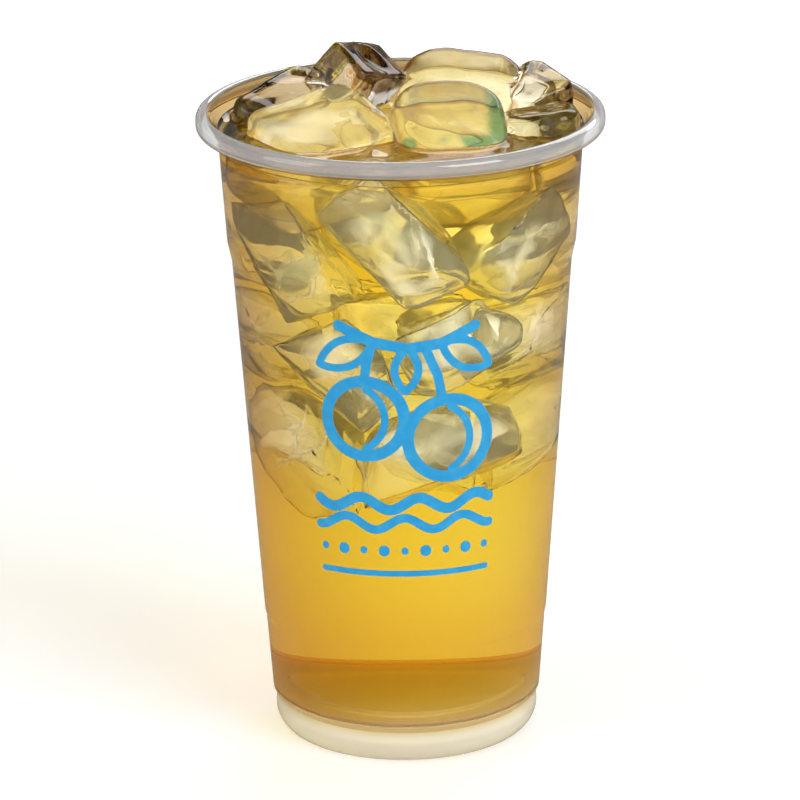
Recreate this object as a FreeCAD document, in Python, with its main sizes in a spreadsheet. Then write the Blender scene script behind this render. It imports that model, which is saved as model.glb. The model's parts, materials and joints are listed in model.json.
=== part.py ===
import FreeCAD, Part

# A cold plum green tea with ice, in its clear plastic takeaway cup.
#
# The cup stands on its foot ring on Z = 0 with its axis on +Z, and the front of the drink faces -Y.
# Lengths are in millimetres and angles in degrees. The cup and the tea are turned about the axis from
# one set of named sizes. Seven melted ice cubes break the surface, and the tea is cut round them.

import math
import os
from types import SimpleNamespace

import Sketcher

SIZES = {
    # Overall
    "cup_height": 151.0,
    "rim_radius": 47.5,
    "base_radius": 31.8,
    "wall": 0.6,
    # Foot: a skirt below the floor, nipped in at the top, which bulges and rolls in to the contact ring
    "foot_wall": 0.9,
    "base_height": 9.1,
    "waist_drop": 1.6,
    "waist_inset": 1.4,
    "bulge_height": 4.6,
    "bulge_inset": 0.65,
    "contact_inset": 3.1,
    "contact_width": 1.1,
    # Floor: just above the base, with a raised panel in the middle and the moulding gate's hollow under it
    "floor_lift": 0.3,
    "floor_wall": 0.9,
    "floor_corner": 1.5,
    "panel_radius": 20.0,
    "panel_rise": 0.8,
    "panel_slope": 0.6,
    "gate_radius": 3.0,
    "gate_depth": 0.3,
    # Side wall: a fine stacking step low down and a shoulder high up, measured down from the rim's top
    "step_height": 28.0,
    "step_rise": 0.7,
    "step_out": 0.3,
    "shoulder_drop": 31.0,
    "shoulder_rise": 4.5,
    "shoulder_out": 1.0,
    "shoulder_bend": 4.0,
    "band_taper": 1.65,
    # Mouth: a ledge, a short collar, a flare and a hollow rolled rim
    "rim_overhang": 5.15,
    "ledge_drop": 7.0,
    "ledge_rise": 0.4,
    "ledge_out": 0.5,
    "rim_roll": 1.85,
    "rim_side": 1.15,
    "rim_curl": 1.2,
    # Contents
    "tea_drop": 4.5,
    "ice_clearance": 0.4,
}

# Each floating cube: its length, width and height, the rounding of its corners and of its edges, the depth
# of the hollow that the ice maker leaves in its top, the place of its centre to the right and to the back
# as shares of the mouth's radius, the height of its centre above the tea, and how far it is turned about
# the upright, tipped about its width and rolled about its length.
ICE_SIZES = (
    "length", "width", "height", "corner", "edge", "hollow",
    "right", "back", "above", "turn", "tip", "roll",
)
ICE = {
    "ice_proud": (21.0, 13.0, 14.0, 2.0, 1.4, 1.6, -0.26, 0.38, 7.3, 57.0, 15.0, 36.0),
    "ice_front": (26.5, 27.0, 22.0, 10.5, 3.0, 0.0, 0.27, -0.14, -3.8, 8.0, 0.0, 27.0),
    "ice_back": (30.0, 24.0, 22.0, 10.0, 3.0, 0.0, 0.36, 0.55, -2.6, -18.0, 4.0, 22.0),
    "ice_left": (30.0, 27.0, 20.0, 5.0, 2.5, 0.0, -0.44, -0.18, -4.6, 30.0, -9.0, 16.0),
    "ice_rear": (28.0, 15.0, 18.0, 5.0, 2.5, 0.0, -0.69, 0.48, -4.0, 55.0, -8.0, 14.0),
    "ice_side": (19.0, 15.0, 20.0, 4.0, 2.2, 0.0, 0.80, 0.41, -1.8, -62.0, 8.0, 14.0),
    "ice_right": (19.0, 18.0, 18.0, 6.0, 2.5, 0.0, 0.83, -0.06, -4.4, 96.0, 6.0, -6.0),
}

FLARE_ANGLE = math.radians(60)  # how steeply the mouth flares, which is where its flare meets the rim's roll
HOLLOW_SHARE = 0.75  # of the cube's width, which the hollow in its top takes

LEFT = 1
RIGHT = -1
TOUCH = 1e-4  # how near two heights or radii are to count as the same


class Size:
    """A number together with the formula that it comes from, so that one sum gives both."""

    def __init__(self, value, formula):
        self.value = value
        self.formula = formula

    def joined(self, sign, other, value):
        return Size(value, f"({self.formula} {sign} {as_size(other).formula})")

    def __add__(self, other):
        return self.joined("+", other, self.value + as_size(other).value)

    def __sub__(self, other):
        return self.joined("-", other, self.value - as_size(other).value)

    def __mul__(self, other):
        return self.joined("*", other, self.value * as_size(other).value)

    def __truediv__(self, other):
        return self.joined("/", other, self.value / as_size(other).value)


def as_size(number):
    return number if isinstance(number, Size) else Size(number, repr(float(number)))


def fill_sheet(doc):
    """Writes every size to the sheet and returns them as named Sizes."""
    sheet = doc.addObject("Spreadsheet::Sheet", "Sizes")
    entries = dict(SIZES)
    for piece, values in ICE.items():
        for word, value in zip(ICE_SIZES, values):
            entries[f"{piece}_{word}"] = value
    for row, (alias, value) in enumerate(entries.items(), start=1):
        sheet.set(f"A{row}", alias.replace("_", " "))
        sheet.set(f"B{row}", str(value))
        sheet.setAlias(f"B{row}", alias)
    doc.recompute()
    return SimpleNamespace(**{alias: Size(sheet.get(alias), f"Sizes.{alias}") for alias in entries})


def new_body(doc, name):
    body = doc.addObject("PartDesign::Body", name)
    body.Label = name
    return body


def origin_plane(body, role):
    return next(part for part in body.Origin.OriginFeatures if part.Role == role)


def new_sketch(body, name, role):
    sketch = body.newObject("Sketcher::SketchObject", name)
    sketch.AttachmentSupport = [(origin_plane(body, role), "")]
    sketch.MapMode = "FlatFace"
    return sketch


def bind(sketch, kind, places, size):
    """Adds a measured constraint and ties it to the sheet."""
    index = sketch.addConstraint(Sketcher.Constraint(kind, *places, size.value))
    sketch.setExpression(f"Constraints[{index}]", size.formula)


def short_arc(start, end, radius, side):
    """The short arc from start to end that turns to the side given."""
    chord = end - start
    half = chord.Length / 2
    across = FreeCAD.Vector(-chord.y, chord.x, 0).normalize() * side
    centre = (start + end) / 2 + across * math.sqrt(radius * radius - half * half)
    return Part.Arc(start, centre - across * radius, end)


def draw_outline(body, name, corners):
    """Draws a closed outline on the body's XZ plane.

    A corner is (radius, height), or (radius, height, bend, side) where an arc leaves it for the next
    corner: bend is that arc's radius, and side is the way that it turns.
    """
    sketch = new_sketch(body, name, "XZ_Plane")
    points = [FreeCAD.Vector(corner[0].value, corner[1].value, 0) for corner in corners]
    starts = []
    for index, corner in enumerate(corners):
        start = points[index]
        end = points[(index + 1) % len(points)]
        if len(corner) == 2:
            sketch.addGeometry(Part.LineSegment(start, end), False)
            starts.append(1)
        else:
            bend, side = corner[2:]
            sketch.addGeometry(short_arc(start, end, bend.value, side), False)
            starts.append(1 if side == LEFT else 2)
    for index, corner in enumerate(corners):
        before = index - 1 if index else len(corners) - 1
        place = (index, starts[index])
        sketch.addConstraint(Sketcher.Constraint("Coincident", before, 3 - starts[before], *place))
        for axis, kind, size in ((-2, "DistanceX", corner[0]), (-1, "DistanceY", corner[1])):
            if size.value == 0:
                sketch.addConstraint(Sketcher.Constraint("PointOnObject", *place, axis))
            else:
                bind(sketch, kind, (-1, 1, *place), size)
        if len(corner) > 2:
            bind(sketch, "Radius", (index,), corner[2])
    return sketch


def turn(body, sketch):
    """Turns the outline all the way round the upright axis."""
    solid = body.newObject("PartDesign::Revolution", "Turned")
    solid.Profile = sketch
    solid.ReferenceAxis = (sketch, ["V_Axis"])
    solid.Angle = 360
    return solid


def soften(body, base, rings, bend):
    """Rounds the circular edges that lie at the given radii and heights."""
    wanted = []
    for number, edge in enumerate(base.Shape.Edges, start=1):
        if not isinstance(edge.Curve, Part.Circle):
            continue
        ring = edge.Curve
        for radius, height in rings:
            near = abs(ring.Radius - radius.value) < TOUCH and abs(ring.Center.z - height.value) < TOUCH
            if near:
                wanted.append(f"Edge{number}")
    if len(wanted) != len(rings):
        raise RuntimeError(f"{body.Label}: found {len(wanted)} of {len(rings)} edges to round")
    fillet = body.newObject("PartDesign::Fillet", "Softened")
    fillet.Base = (base, wanted)
    fillet.setExpression("Radius", bend.formula)
    return fillet


def bulge_bend(run, rise):
    """The radius of an arc that is upright at one end and has moved in by run after rise."""
    return (run * run + rise * rise) / (run * 2)


def heights_and_radii(size):
    """The places that the cup's outside, its inside and the tea share."""
    top = size.cup_height
    collar = size.rim_radius - size.rim_overhang + size.ledge_out
    shoulder_top = collar - size.ledge_out - size.band_taper
    shoulder_foot = shoulder_top - size.shoulder_out
    shoulder_foot_height = top - size.shoulder_drop - size.shoulder_rise
    climb = (size.step_height - size.base_height) / (shoulder_foot_height - size.base_height)
    step = size.base_radius + (shoulder_foot - size.base_radius) * climb
    floor_height = size.base_height + size.floor_lift
    # The side wall from the base up to the collar, as outer radii and heights
    side = [
        (step, size.step_height),
        (step + size.step_out, size.step_height + size.step_rise),
        (shoulder_foot, shoulder_foot_height),
        (shoulder_top, top - size.shoulder_drop),
        (collar - size.ledge_out, top - size.ledge_drop),
        (collar, top - size.ledge_drop + size.ledge_rise),
    ]
    return SimpleNamespace(
        side=side,
        inside=[(radius - size.wall, height) for radius, height in side],
        bends=side[2:4],
        inside_bends=[(radius - size.wall, height) for radius, height in side[2:4]],
        collar=collar,
        floor_height=floor_height,
        floor_corner=(size.base_radius - size.wall, floor_height),
        floor_middle=floor_height + size.panel_rise,
        mouth=shoulder_top - size.wall,
        tea_level=top - size.tea_drop,
    )


def floor_outline(size, places):
    """The top of the floor, from the side wall to the axis."""
    return [
        places.floor_corner,
        (size.panel_radius + size.panel_slope, places.floor_height),
        (size.panel_radius, places.floor_middle),
        (as_size(0), places.floor_middle),
    ]


def make_cup(doc, size, places):
    body = new_body(doc, "cup")
    base = size.base_radius
    waist = base - size.waist_inset
    waist_height = size.base_height - size.waist_drop
    bulge = base - size.bulge_inset
    contact = base - size.contact_inset
    skirt = waist - size.foot_wall
    under = places.floor_height - size.floor_wall
    foot = [
        (contact - size.contact_width, as_size(0)),
        (contact, as_size(0), bulge_bend(bulge - contact, size.bulge_height), LEFT),
        (bulge, size.bulge_height, bulge_bend(bulge - waist, waist_height - size.bulge_height), LEFT),
        (waist, waist_height),
        (base, size.base_height),
    ]
    # The rim's roll is a circle about this place, and the flare meets it at a tangent.
    roll = size.rim_roll
    bore = roll - size.wall
    centre = size.rim_radius - roll
    centre_height = size.cup_height - roll
    steep = math.tan(FLARE_ANGLE)
    inwards = math.sin(FLARE_ANGLE)
    upwards = math.cos(FLARE_ANGLE)
    outer_flare = (centre - bore * inwards, centre_height + bore * upwards)
    inner_flare = (centre - roll * inwards, centre_height + roll * upwards)
    collar_inside = places.collar - size.wall
    side_foot = centre_height - size.rim_side
    curl = size.rim_curl
    inner_curl = curl - size.wall
    lip = size.rim_radius - curl
    rim = [
        (places.collar, outer_flare[1] - (outer_flare[0] - places.collar) * steep),
        (*outer_flare, bore, RIGHT),
        (centre + bore, centre_height),
        (centre + bore, side_foot, inner_curl, RIGHT),
        (lip, side_foot - inner_curl),
        (lip, side_foot - curl, curl, LEFT),
        (size.rim_radius, side_foot),
        (size.rim_radius, centre_height, roll, LEFT),
        inner_flare,
        (collar_inside, inner_flare[1] - (inner_flare[0] - collar_inside) * steep),
    ]
    raised_under = under + size.panel_rise
    underside = [
        (as_size(0), raised_under + size.gate_depth),
        (size.gate_radius, raised_under + size.gate_depth),
        (size.gate_radius, raised_under),
        (size.panel_radius, raised_under),
        (size.panel_radius + size.panel_slope, under),
        (skirt, under),
        (skirt, waist_height),
        (bulge - size.foot_wall, size.bulge_height),
    ]
    outline = foot + places.side + rim + places.inside[::-1] + floor_outline(size, places) + underside
    solid = turn(body, draw_outline(body, "Wall", outline))
    doc.recompute()
    solid = soften(body, solid, [places.floor_corner], size.floor_corner)
    doc.recompute()
    soften(body, solid, places.bends + places.inside_bends, size.shoulder_bend)
    doc.recompute()
    return body


def make_filling(doc, size, places):
    """The tea before it is cut round the ice: it fills the cup up to its level."""
    body = new_body(doc, "filling")
    level = [(as_size(0), places.tea_level), (places.collar - size.wall, places.tea_level)]
    outline = level + places.inside[::-1] + floor_outline(size, places)
    solid = turn(body, draw_outline(body, "Inside", outline))
    doc.recompute()
    solid = soften(body, solid, [places.floor_corner], size.floor_corner)
    doc.recompute()
    soften(body, solid, places.inside_bends, size.shoulder_bend)
    doc.recompute()
    return body


def make_mouth_room(doc, size, places):
    """The room that the floating ice may take: above the shoulder, a little inside the wall."""
    body = new_body(doc, "mouth_room")
    wall = [(radius - size.ice_clearance, height) for radius, height in places.inside[3:]]
    high = size.cup_height * 2
    outline = [(as_size(0), wall[0][1]), *wall, (wall[-1][0], high), (as_size(0), high)]
    turn(body, draw_outline(body, "Room", outline))
    doc.recompute()
    return body


def make_cube(doc, piece, words, places):
    """One melted cube: a padded block with rounded corners and edges, and a hollow in its top."""
    body = new_body(doc, piece + "_cube")
    sketch = new_sketch(body, "Footprint", "XY_Plane")
    half_length = words["length"].value / 2
    half_width = words["width"].value / 2
    ends = [
        FreeCAD.Vector(side * half_length, way * half_width, 0)
        for side, way in ((-1, -1), (1, -1), (1, 1), (-1, 1))
    ]
    for index, end in enumerate(ends):
        sketch.addGeometry(Part.LineSegment(end, ends[(index + 1) % 4]), False)
        sketch.addConstraint(Sketcher.Constraint("Horizontal" if index % 2 == 0 else "Vertical", index))
    for index in range(4):
        sketch.addConstraint(Sketcher.Constraint("Coincident", index, 2, (index + 1) % 4, 1))
    sketch.addConstraint(Sketcher.Constraint("Symmetric", 0, 1, 1, 2, -1, 1))
    bind(sketch, "DistanceX", (0, 1, 0, 2), words["length"])
    bind(sketch, "DistanceY", (1, 1, 1, 2), words["width"])
    block = body.newObject("PartDesign::Pad", "Block")
    block.Profile = sketch
    block.Midplane = True
    block.setExpression("Length", words["height"].formula)
    doc.recompute()
    corners = body.newObject("PartDesign::Fillet", "Corners")
    corners.Base = (block, upright_edges(block.Shape))
    corners.setExpression("Radius", words["corner"].formula)
    doc.recompute()
    edges = body.newObject("PartDesign::Fillet", "Edges")
    edges.Base = (corners, level_edges(corners.Shape))
    edges.setExpression("Radius", words["edge"].formula)
    doc.recompute()
    if words["hollow"].value:
        add_hollow(body, words)
        doc.recompute()
    middle = [
        (words["right"] * places.mouth).formula,
        (words["back"] * places.mouth).formula,
        (places.tea_level + words["above"]).formula,
    ]
    angles = [words[word].formula for word in ("turn", "tip", "roll")]
    body.setExpression("Placement", f"placement(vector({'; '.join(middle)}); rotation({'; '.join(angles)}))")
    doc.recompute()
    return body


def add_hollow(body, words):
    """Sinks a round hollow of the given depth into the cube's top, as part of a ball."""
    reach = words["width"] * (HOLLOW_SHARE / 2)
    depth = words["hollow"]
    ball_radius = (reach * reach + depth * depth) / (depth * 2)
    ball = body.newObject("PartDesign::SubtractiveSphere", "Hollow")
    ball.AttachmentSupport = [(origin_plane(body, "XY_Plane"), "")]
    ball.MapMode = "FlatFace"
    ball.setExpression("Radius", ball_radius.formula)
    lift = words["height"] / 2 + ball_radius - depth
    ball.setExpression("AttachmentOffset", f"placement(vector(0; 0; {lift.formula}); rotation(0; 0; 0))")


def upright_edges(shape):
    """The names of the edges that run straight up."""
    names = []
    for number, edge in enumerate(shape.Edges, start=1):
        rise = edge.BoundBox
        if rise.XLength < TOUCH and rise.YLength < TOUCH:
            names.append(f"Edge{number}")
    return names


def level_edges(shape):
    """The names of the edges that lie level."""
    names = []
    for number, edge in enumerate(shape.Edges, start=1):
        if edge.BoundBox.ZLength < TOUCH:
            names.append(f"Edge{number}")
    return names


def cut_round(doc, name, base, others):
    """The base less all the others, under its own name."""
    tool = others[0]
    if len(others) > 1:
        tool = doc.addObject("Part::MultiFuse", name + "_neighbours")
        tool.Shapes = others
    cut = doc.addObject("Part::Cut", name)
    cut.Label = name
    cut.Base = base
    cut.Tool = tool
    doc.recompute()
    return cut


def make_ice(doc, size, places):
    """The floating cubes: each is kept inside the mouth and gives way to those placed before it."""
    room = make_mouth_room(doc, size, places)
    pieces = []
    for name in ICE:
        words = {word: getattr(size, f"{name}_{word}") for word in ICE_SIZES}
        held = doc.addObject("Part::Common", name + "_held")
        held.Base = make_cube(doc, name, words, places)
        held.Tool = room
        held.Label = name + "_held" if pieces else name
        doc.recompute()
        pieces.append(cut_round(doc, name, held, pieces[:]) if pieces else held)
    return pieces


def check(doc, nodes):
    """Stops the build if anything failed to compute or a sub-part isn't one sound solid."""
    for thing in doc.Objects:
        if {"Invalid", "Error"} & set(thing.State):
            raise RuntimeError(f"{thing.Label} failed: {thing.State}")
    for node in nodes:
        shape = node.Shape
        if shape.isNull() or not shape.isValid() or len(shape.Solids) != 1:
            raise RuntimeError(f"{node.Label} isn't one valid solid: {len(shape.Solids)}")


def main():
    doc = FreeCAD.newDocument("PlumGreenTea")
    size = fill_sheet(doc)
    places = heights_and_radii(size)
    cup = make_cup(doc, size, places)
    filling = make_filling(doc, size, places)
    pieces = make_ice(doc, size, places)
    tea = cut_round(doc, "tea", filling, pieces)
    doc.recompute()
    nodes = [cup, tea, *pieces]
    check(doc, nodes)
    os.makedirs("parts", exist_ok=True)
    for node in nodes:
        node.Shape.exportStep(f"parts/{node.Label}.step")
        box = node.Shape.BoundBox
        print(
            f"{node.Label}: volume {node.Shape.Volume / 1000:.1f} ml,"
            f" X {box.XMin:.1f} to {box.XMax:.1f}, Y {box.YMin:.1f} to {box.YMax:.1f},"
            f" Z {box.ZMin:.1f} to {box.ZMax:.1f}"
        )


main()
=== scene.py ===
import json
import math
import random

import bmesh
import bpy
import numpy as np
from mathutils import Euler, Matrix, Vector, noise
from mathutils.bvhtree import BVHTree

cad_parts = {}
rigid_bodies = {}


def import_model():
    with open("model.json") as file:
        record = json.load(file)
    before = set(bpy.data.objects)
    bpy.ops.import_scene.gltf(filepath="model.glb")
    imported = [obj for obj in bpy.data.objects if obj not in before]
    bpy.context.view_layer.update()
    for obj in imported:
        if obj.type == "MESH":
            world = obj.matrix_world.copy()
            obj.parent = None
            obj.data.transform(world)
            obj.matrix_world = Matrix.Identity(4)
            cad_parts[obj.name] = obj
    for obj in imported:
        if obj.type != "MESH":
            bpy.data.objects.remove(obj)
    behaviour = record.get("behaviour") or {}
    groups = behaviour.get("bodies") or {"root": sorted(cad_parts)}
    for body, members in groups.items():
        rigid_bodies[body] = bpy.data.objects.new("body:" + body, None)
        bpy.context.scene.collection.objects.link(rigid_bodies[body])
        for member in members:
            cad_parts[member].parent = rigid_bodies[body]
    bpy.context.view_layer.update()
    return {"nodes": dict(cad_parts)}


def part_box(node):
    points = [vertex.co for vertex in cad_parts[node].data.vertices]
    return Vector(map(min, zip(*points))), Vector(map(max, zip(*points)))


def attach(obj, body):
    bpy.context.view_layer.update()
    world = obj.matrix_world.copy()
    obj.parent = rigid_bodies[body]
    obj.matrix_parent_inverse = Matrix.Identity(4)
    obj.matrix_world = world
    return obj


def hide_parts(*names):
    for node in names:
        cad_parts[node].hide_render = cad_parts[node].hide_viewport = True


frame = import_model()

bl_info = {
    "name": "Iced Tea Cup",
    "version": (1, 0, 0),
    "blender": (4, 5, 0),
    "location": "3D View > Sidebar > Iced Tea",
    "description": "A clear takeaway cup of iced tea with melted ice cubes",
    "category": "Add Mesh",
}

MM = 0.001

# -------------------------------------- the cup's section, as radius and height in millimetres

# The inside, from the axis out over the floor panel and up the wall to the collar under the rim
INSIDE = [
    (0, 10.2), (20.0, 10.2), (20.6, 9.4), (31.2, 9.4), (32.6, 28.0), (32.9, 28.7), (39.1, 115.5),
    (40.1, 120.0), (41.75, 144.0), (42.25, 144.4), (42.25, 146.96),
]
INSIDE_BENDS = {3: 1.5, 6: 4.0, 7: 4.0, 5: 0.6, 4: 0.6}
# The outside, from the neck under the rim down to the waist above the foot
OUTSIDE = [
    (42.85, 146.8), (42.85, 144.4), (42.35, 144.0), (40.7, 120.0), (39.7, 115.5), (33.5, 28.7),
    (33.2, 28.0), (31.8, 9.1), (30.4, 7.5),
]
OUTSIDE_BENDS = {3: 4.0, 4: 4.0, 5: 0.6, 6: 0.6, 7: 0.5}
# The underside, from the foot ring in to the axis
UNDERSIDE = [
    (27.6, 0.0), (30.25, 4.6), (29.5, 7.5), (29.5, 8.5), (20.6, 8.5), (20.0, 9.3), (3.0, 9.3), (3.0, 9.6),
    (0, 9.6),
]
# The hollow rolled rim: the flare's end, the roll's shoulder and side, its lip, and the same places inside it
FLARE_END, ROLL_SHOULDER, ROLL_SIDE = (44.05, 150.075), (47.5, 149.15), (47.5, 148.0)
ROLL_LIP, LIP_END = (46.3, 146.8), (46.3, 147.4)
ROLL_INNER_SIDE, ROLL_INNER_TOP, ROLL_ROOT = (46.9, 148.0), (46.9, 149.15), (44.57, 149.775)
# The bulged foot, from the waist over its widest point to the contact ring
WAIST, FOOT_BULGE, FOOT_RING = (30.4, 7.5), (31.15, 4.6), (28.7, 0.0)

WALL_SEGMENTS = 192
WHITE = (1.0, 1.0, 1.0)


def arc(start, end, radius, side, steps):
    """Points on the short arc from start to end; side is +1 where its middle lies to the left."""
    a, b = Vector(start), Vector(end)
    middle, across = (a + b) / 2, b - a
    rise = math.sqrt(max(radius ** 2 - (across.length / 2) ** 2, 0))
    centre = middle - side * rise * Vector((-across.y, across.x)).normalized()
    first, last = a - centre, b - centre
    turn = first.angle_signed(last)
    points = []
    for i in range(1, steps + 1):
        t = -turn * i / steps
        c, s = math.cos(t), math.sin(t)
        points.append((centre.x + c * first.x - s * first.y, centre.y + s * first.x + c * first.y))
    return points


def rounded(corners, bends, steps=6):
    """The polyline with each named corner rounded to its radius."""
    line = []
    for i, corner in enumerate(corners):
        if i not in bends:
            line.append(corner)
            continue
        p, a, b = Vector(corner), Vector(corners[i - 1]), Vector(corners[i + 1])
        to_a, to_b = (a - p).normalized(), (b - p).normalized()
        half = to_a.angle(to_b) / 2
        reach = min(bends[i] / math.tan(half), 0.45 * (a - p).length, 0.45 * (b - p).length)
        start, end = p + to_a * reach, p + to_b * reach
        for k in range(steps + 1):
            t = k / steps
            q = start * (1 - t) ** 2 + p * 2 * t * (1 - t) + end * t * t
            line.append((q.x, q.y))
    return line


def divided(line, longest):
    """The polyline with long runs split so that no piece is longer than the given length."""
    points = [line[0]]
    for a, b in zip(line, line[1:]):
        parts = max(1, math.ceil(math.dist(a, b) / longest))
        points += [
            (a[0] + (b[0] - a[0]) * k / parts, a[1] + (b[1] - a[1]) * k / parts) for k in range(1, parts + 1)]
    return points


def inner_radius(height):
    """The radius of the cup's inside at a height, both in millimetres."""
    radii, heights = zip(*INSIDE[3:])
    return float(np.interp(height, heights, radii))


# ---------------------------------------------------------------- mesh helpers

def linked(name, data):
    """A new object in the scene."""
    thing = bpy.data.objects.new(name, data)
    bpy.context.scene.collection.objects.link(thing)
    return thing


def finished(bm, name):
    """Writes a bmesh to a new mesh and lets it go."""
    mesh = bpy.data.meshes.new(name)
    bm.to_mesh(mesh)
    bm.free()
    return mesh


def make_object(name, mesh, materials, slot, *replaced):
    """Links a finished mesh as a piece that rides on the one body."""
    if not mesh.polygons:
        raise RuntimeError(f"{name} has no faces")
    piece = linked(name, mesh)
    mesh.materials.clear()
    for material in materials:
        mesh.materials.append(material)
    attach(piece, "root")
    if replaced:
        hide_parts(*replaced)
    return piece


def scaled_mesh(bm, name, sharp=None):
    """Writes a bmesh in millimetres to a smooth mesh in metres, sharp past an angle given in degrees."""
    bmesh.ops.scale(bm, vec=(MM, MM, MM), verts=bm.verts)
    bmesh.ops.recalc_face_normals(bm, faces=bm.faces)
    mesh = finished(bm, name)
    mesh.shade_smooth()
    if sharp:
        mesh.set_sharp_from_angle(angle=math.radians(sharp))
    return mesh


def turn_profile(points, segments):
    """Turns an open section, whose ends lie on the axis, into a closed bmesh."""
    bm = bmesh.new()
    rings = []
    for radius, height in points:
        if radius < 1e-6:
            rings.append([bm.verts.new((0, 0, height))])
            continue
        rings.append([
            bm.verts.new((radius * math.cos(a), radius * math.sin(a), height))
            for a in (2 * math.pi * k / segments for k in range(segments))
        ])
    for low, high in zip(rings, rings[1:]):
        for k in range(segments):
            n = (k + 1) % segments
            corners = [low[k % len(low)], low[n % len(low)], high[n % len(high)], high[k % len(high)]]
            unique = list(dict.fromkeys(corners))
            if len(unique) > 2:
                bm.faces.new(unique)
    return bm


def with_modifiers(mesh, *steps):
    """Runs modifiers, given as (kind, settings), over a mesh and returns the new one."""
    scratch = linked("scratch", mesh)
    for number, (kind, settings) in enumerate(steps):
        modifier = scratch.modifiers.new(f"step_{number}", kind)
        for word, value in settings.items():
            setattr(modifier, word, value)
    graph = bpy.context.evaluated_depsgraph_get()
    result = bpy.data.meshes.new_from_object(scratch.evaluated_get(graph))
    bpy.data.objects.remove(scratch)
    return result


def coordinates(mesh):
    values = np.empty(len(mesh.vertices) * 3)
    mesh.vertices.foreach_get("co", values)
    return values.reshape(-1, 3)


def set_coordinates(mesh, values):
    mesh.vertices.foreach_set("co", np.asarray(values, float).ravel())
    mesh.update()


def vertex_normals(mesh):
    values = np.empty(len(mesh.vertices) * 3)
    mesh.vertex_normals.foreach_get("vector", values)
    return values.reshape(-1, 3)


def push(mesh, amount):
    """Moves every point of a mesh along its normal, in metres."""
    set_coordinates(mesh, coordinates(mesh) + vertex_normals(mesh) * np.reshape(amount, (-1, 1)))


# ---------------------------------------------------------------- node helpers

class Nodes:
    """Short words for placing and wiring nodes in one tree."""

    def __init__(self, tree):
        self.tree = tree

    def add(self, kind, **settings):
        node = self.tree.nodes.new(kind)
        for word, value in settings.items():
            setattr(node, word, value)
        return node

    def wire(self, start, end):
        self.tree.links.new(start, end)

    def feed(self, socket, value):
        """Wires another socket in or sets a plain value; a colour may leave out its alpha."""
        if isinstance(value, bpy.types.NodeSocket):
            self.wire(value, socket)
        elif socket.type == "RGBA" and len(value) == 3:
            socket.default_value = (*value, 1)
        else:
            socket.default_value = value

    def maths(self, operation, a, b=0.5):
        node = self.add("ShaderNodeMath", operation=operation)
        self.feed(node.inputs[0], a)
        self.feed(node.inputs[1], b)
        return node.outputs[0]

    def product(self, first, *others):
        for value in others:
            first = self.maths("MULTIPLY", first, value)
        return first

    def remap(self, value, low, high, to_low=0.0, to_high=1.0):
        """The value eased from one range to another; a low above its high turns it round."""
        node = self.add("ShaderNodeMapRange", interpolation_type="SMOOTHSTEP")
        for index, number in enumerate((value, low, high, to_low, to_high)):
            self.feed(node.inputs[index], number)
        return node.outputs[0]

    def blend(self, share, a, b, kind="MIX"):
        node = self.add("ShaderNodeMix", data_type="RGBA", blend_type=kind)
        for index, value in ((0, share), (6, a), (7, b)):
            self.feed(node.inputs[index], value)
        return node.outputs[2]

    def shade(self, a, b):
        """Two colours multiplied."""
        return self.blend(1.0, a, b, kind="MULTIPLY")

    def tint_over(self, colour, share, tint):
        """The colour with a tint over it where the share is high."""
        return self.shade(colour, self.blend(share, WHITE, tint))

    def mix_shaders(self, share, first, second):
        node = self.add("ShaderNodeMixShader")
        for index, value in enumerate((share, first.outputs[0], second.outputs[0])):
            self.wire(value, node.inputs[index])
        return node

    def place(self):
        """Where a point lies on its piece, in metres."""
        return self.add("ShaderNodeTexCoord").outputs["Object"]

    def split(self, vector):
        """A vector's X, Y and Z."""
        node = self.add("ShaderNodeSeparateXYZ")
        self.wire(vector, node.inputs[0])
        return node.outputs

    def facing(self, blend):
        """0 where the surface is seen face on and 1 edge on."""
        node = self.add("ShaderNodeLayerWeight")
        node.inputs["Blend"].default_value = blend
        return node.outputs["Facing"]

    def reflected(self, path):
        """1 for a ray that was last reflected, and 0 for one that came through."""
        not_through = self.maths("SUBTRACT", 1.0, path.outputs["Is Transmission Ray"])
        return self.product(path.outputs["Is Glossy Ray"], not_through)

    def group(self, tree, **inputs):
        """Places a shared effect and feeds its inputs by name, with underscores for spaces."""
        node = self.add("ShaderNodeGroup", node_tree=tree)
        for word, value in inputs.items():
            self.feed(node.inputs[word.replace("_", " ")], value)
        return node

    def grain(self, place, scale, low, high, detail=1.0):
        """A soft mottled mask, 0 to 1."""
        node = self.group(grain_effect(), Vector=place, Scale=scale, Detail=detail, Low=low, High=high)
        return node.outputs["Mask"]

    def relief(self, place, scale, strength, distance):
        """A normal ruffled by shallow dimples."""
        node = self.group(relief_effect(), Vector=place, Scale=scale, Strength=strength, Distance=distance)
        return node.outputs["Normal"]


def effect(name, inputs, outputs, build):
    """A shared effect as a node group, built the first time it is asked for."""
    tree = bpy.data.node_groups.get(name)
    if tree is not None:
        return tree
    tree = bpy.data.node_groups.new(name, "ShaderNodeTree")
    for direction, sockets in (("INPUT", inputs), ("OUTPUT", outputs)):
        for word, kind in sockets:
            tree.interface.new_socket(name=word, in_out=direction, socket_type=f"NodeSocket{kind}")
    nodes = Nodes(tree)
    start, end = nodes.add("NodeGroupInput"), nodes.add("NodeGroupOutput")
    build(nodes, start.outputs, end.inputs)
    return tree


def grain_effect():
    """A soft mottled mask between two values of a noise."""
    def build(nodes, given, result):
        texture = nodes.add("ShaderNodeTexNoise")
        for word in ("Vector", "Scale", "Detail"):
            nodes.wire(given[word], texture.inputs[word])
        nodes.wire(nodes.remap(texture.outputs["Fac"], given["Low"], given["High"]), result["Mask"])

    return effect(
        "mottled_grain",
        [("Vector", "Vector"), ("Scale", "Float"), ("Detail", "Float"), ("Low", "Float"), ("High", "Float")],
        [("Mask", "Float")], build)


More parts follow.
